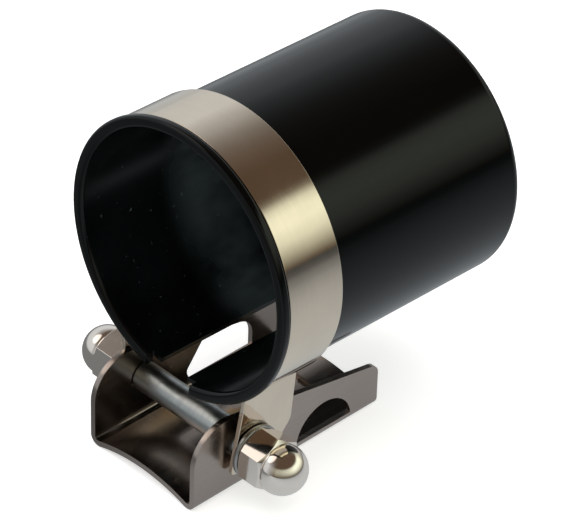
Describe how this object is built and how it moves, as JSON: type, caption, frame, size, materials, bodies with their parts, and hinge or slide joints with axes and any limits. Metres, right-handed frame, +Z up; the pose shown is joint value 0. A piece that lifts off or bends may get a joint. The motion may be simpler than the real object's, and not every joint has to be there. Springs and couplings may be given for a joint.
{
  "type": "instrument cup mount with band clamp and saddle foot",
  "caption": "Black drawn-metal cup for a round instrument, held by a steel band that tilts on a stud across a folded saddle foot with strap holes.",
  "frame": {"origin": "centre of the bounding box in X and Y, at the underside of the foot", "axes": "+X along the stud towards the more splayed tab, -Y out of the open mouth of the cup, +Z up"},
  "size_m": [0.0589, 0.073, 0.0753],
  "materials": {
    "gloss_black": "gloss",
    "satin_stainless": "satin",
    "polished_stainless": "polished",
    "bright_plating": "polished",
    "bright_zinc": "satin"
  },
  "bodies": {
    "foot": {"saddle_foot": "polished_stainless"},
    "band": {"band_clamp": "satin_stainless"},
    "cup": {"cup": "gloss_black"},
    "stud": {"stud": "bright_plating"},
    "nut_right": {"acorn_nut_right": "bright_plating", "washer_right": "bright_zinc"},
    "nut_left": {"acorn_nut_left": "bright_plating", "washer_left": "bright_zinc"}
  },
  "joints": [
    {"name": "band_tilt", "type": "hinge", "parent": "foot", "child": "band", "pos_m": [-0.00074, -0.024, 0.01031], "axis": [1, 0, 0], "range_deg": [-17, 40]},
    {"name": "cup_roll", "type": "hinge", "parent": "band", "child": "cup", "pos_m": [-0.00074, -0.02834, 0.04658], "axis": [0, 0.9996, -0.0288], "continuous": true},
    {"name": "stud_spin", "type": "hinge", "parent": "foot", "child": "stud", "pos_m": [-0.00074, -0.024, 0.01031], "axis": [1, 0, 0], "continuous": true},
    {"name": "nut_right_spin", "type": "hinge", "parent": "stud", "child": "nut_right", "pos_m": [-0.00074, -0.024, 0.01031], "axis": [1, 0, 0], "continuous": true},
    {"name": "nut_left_spin", "type": "hinge", "parent": "stud", "child": "nut_left", "pos_m": [-0.00074, -0.024, 0.01031], "axis": [-1, 0, 0], "continuous": true}
  ]
}
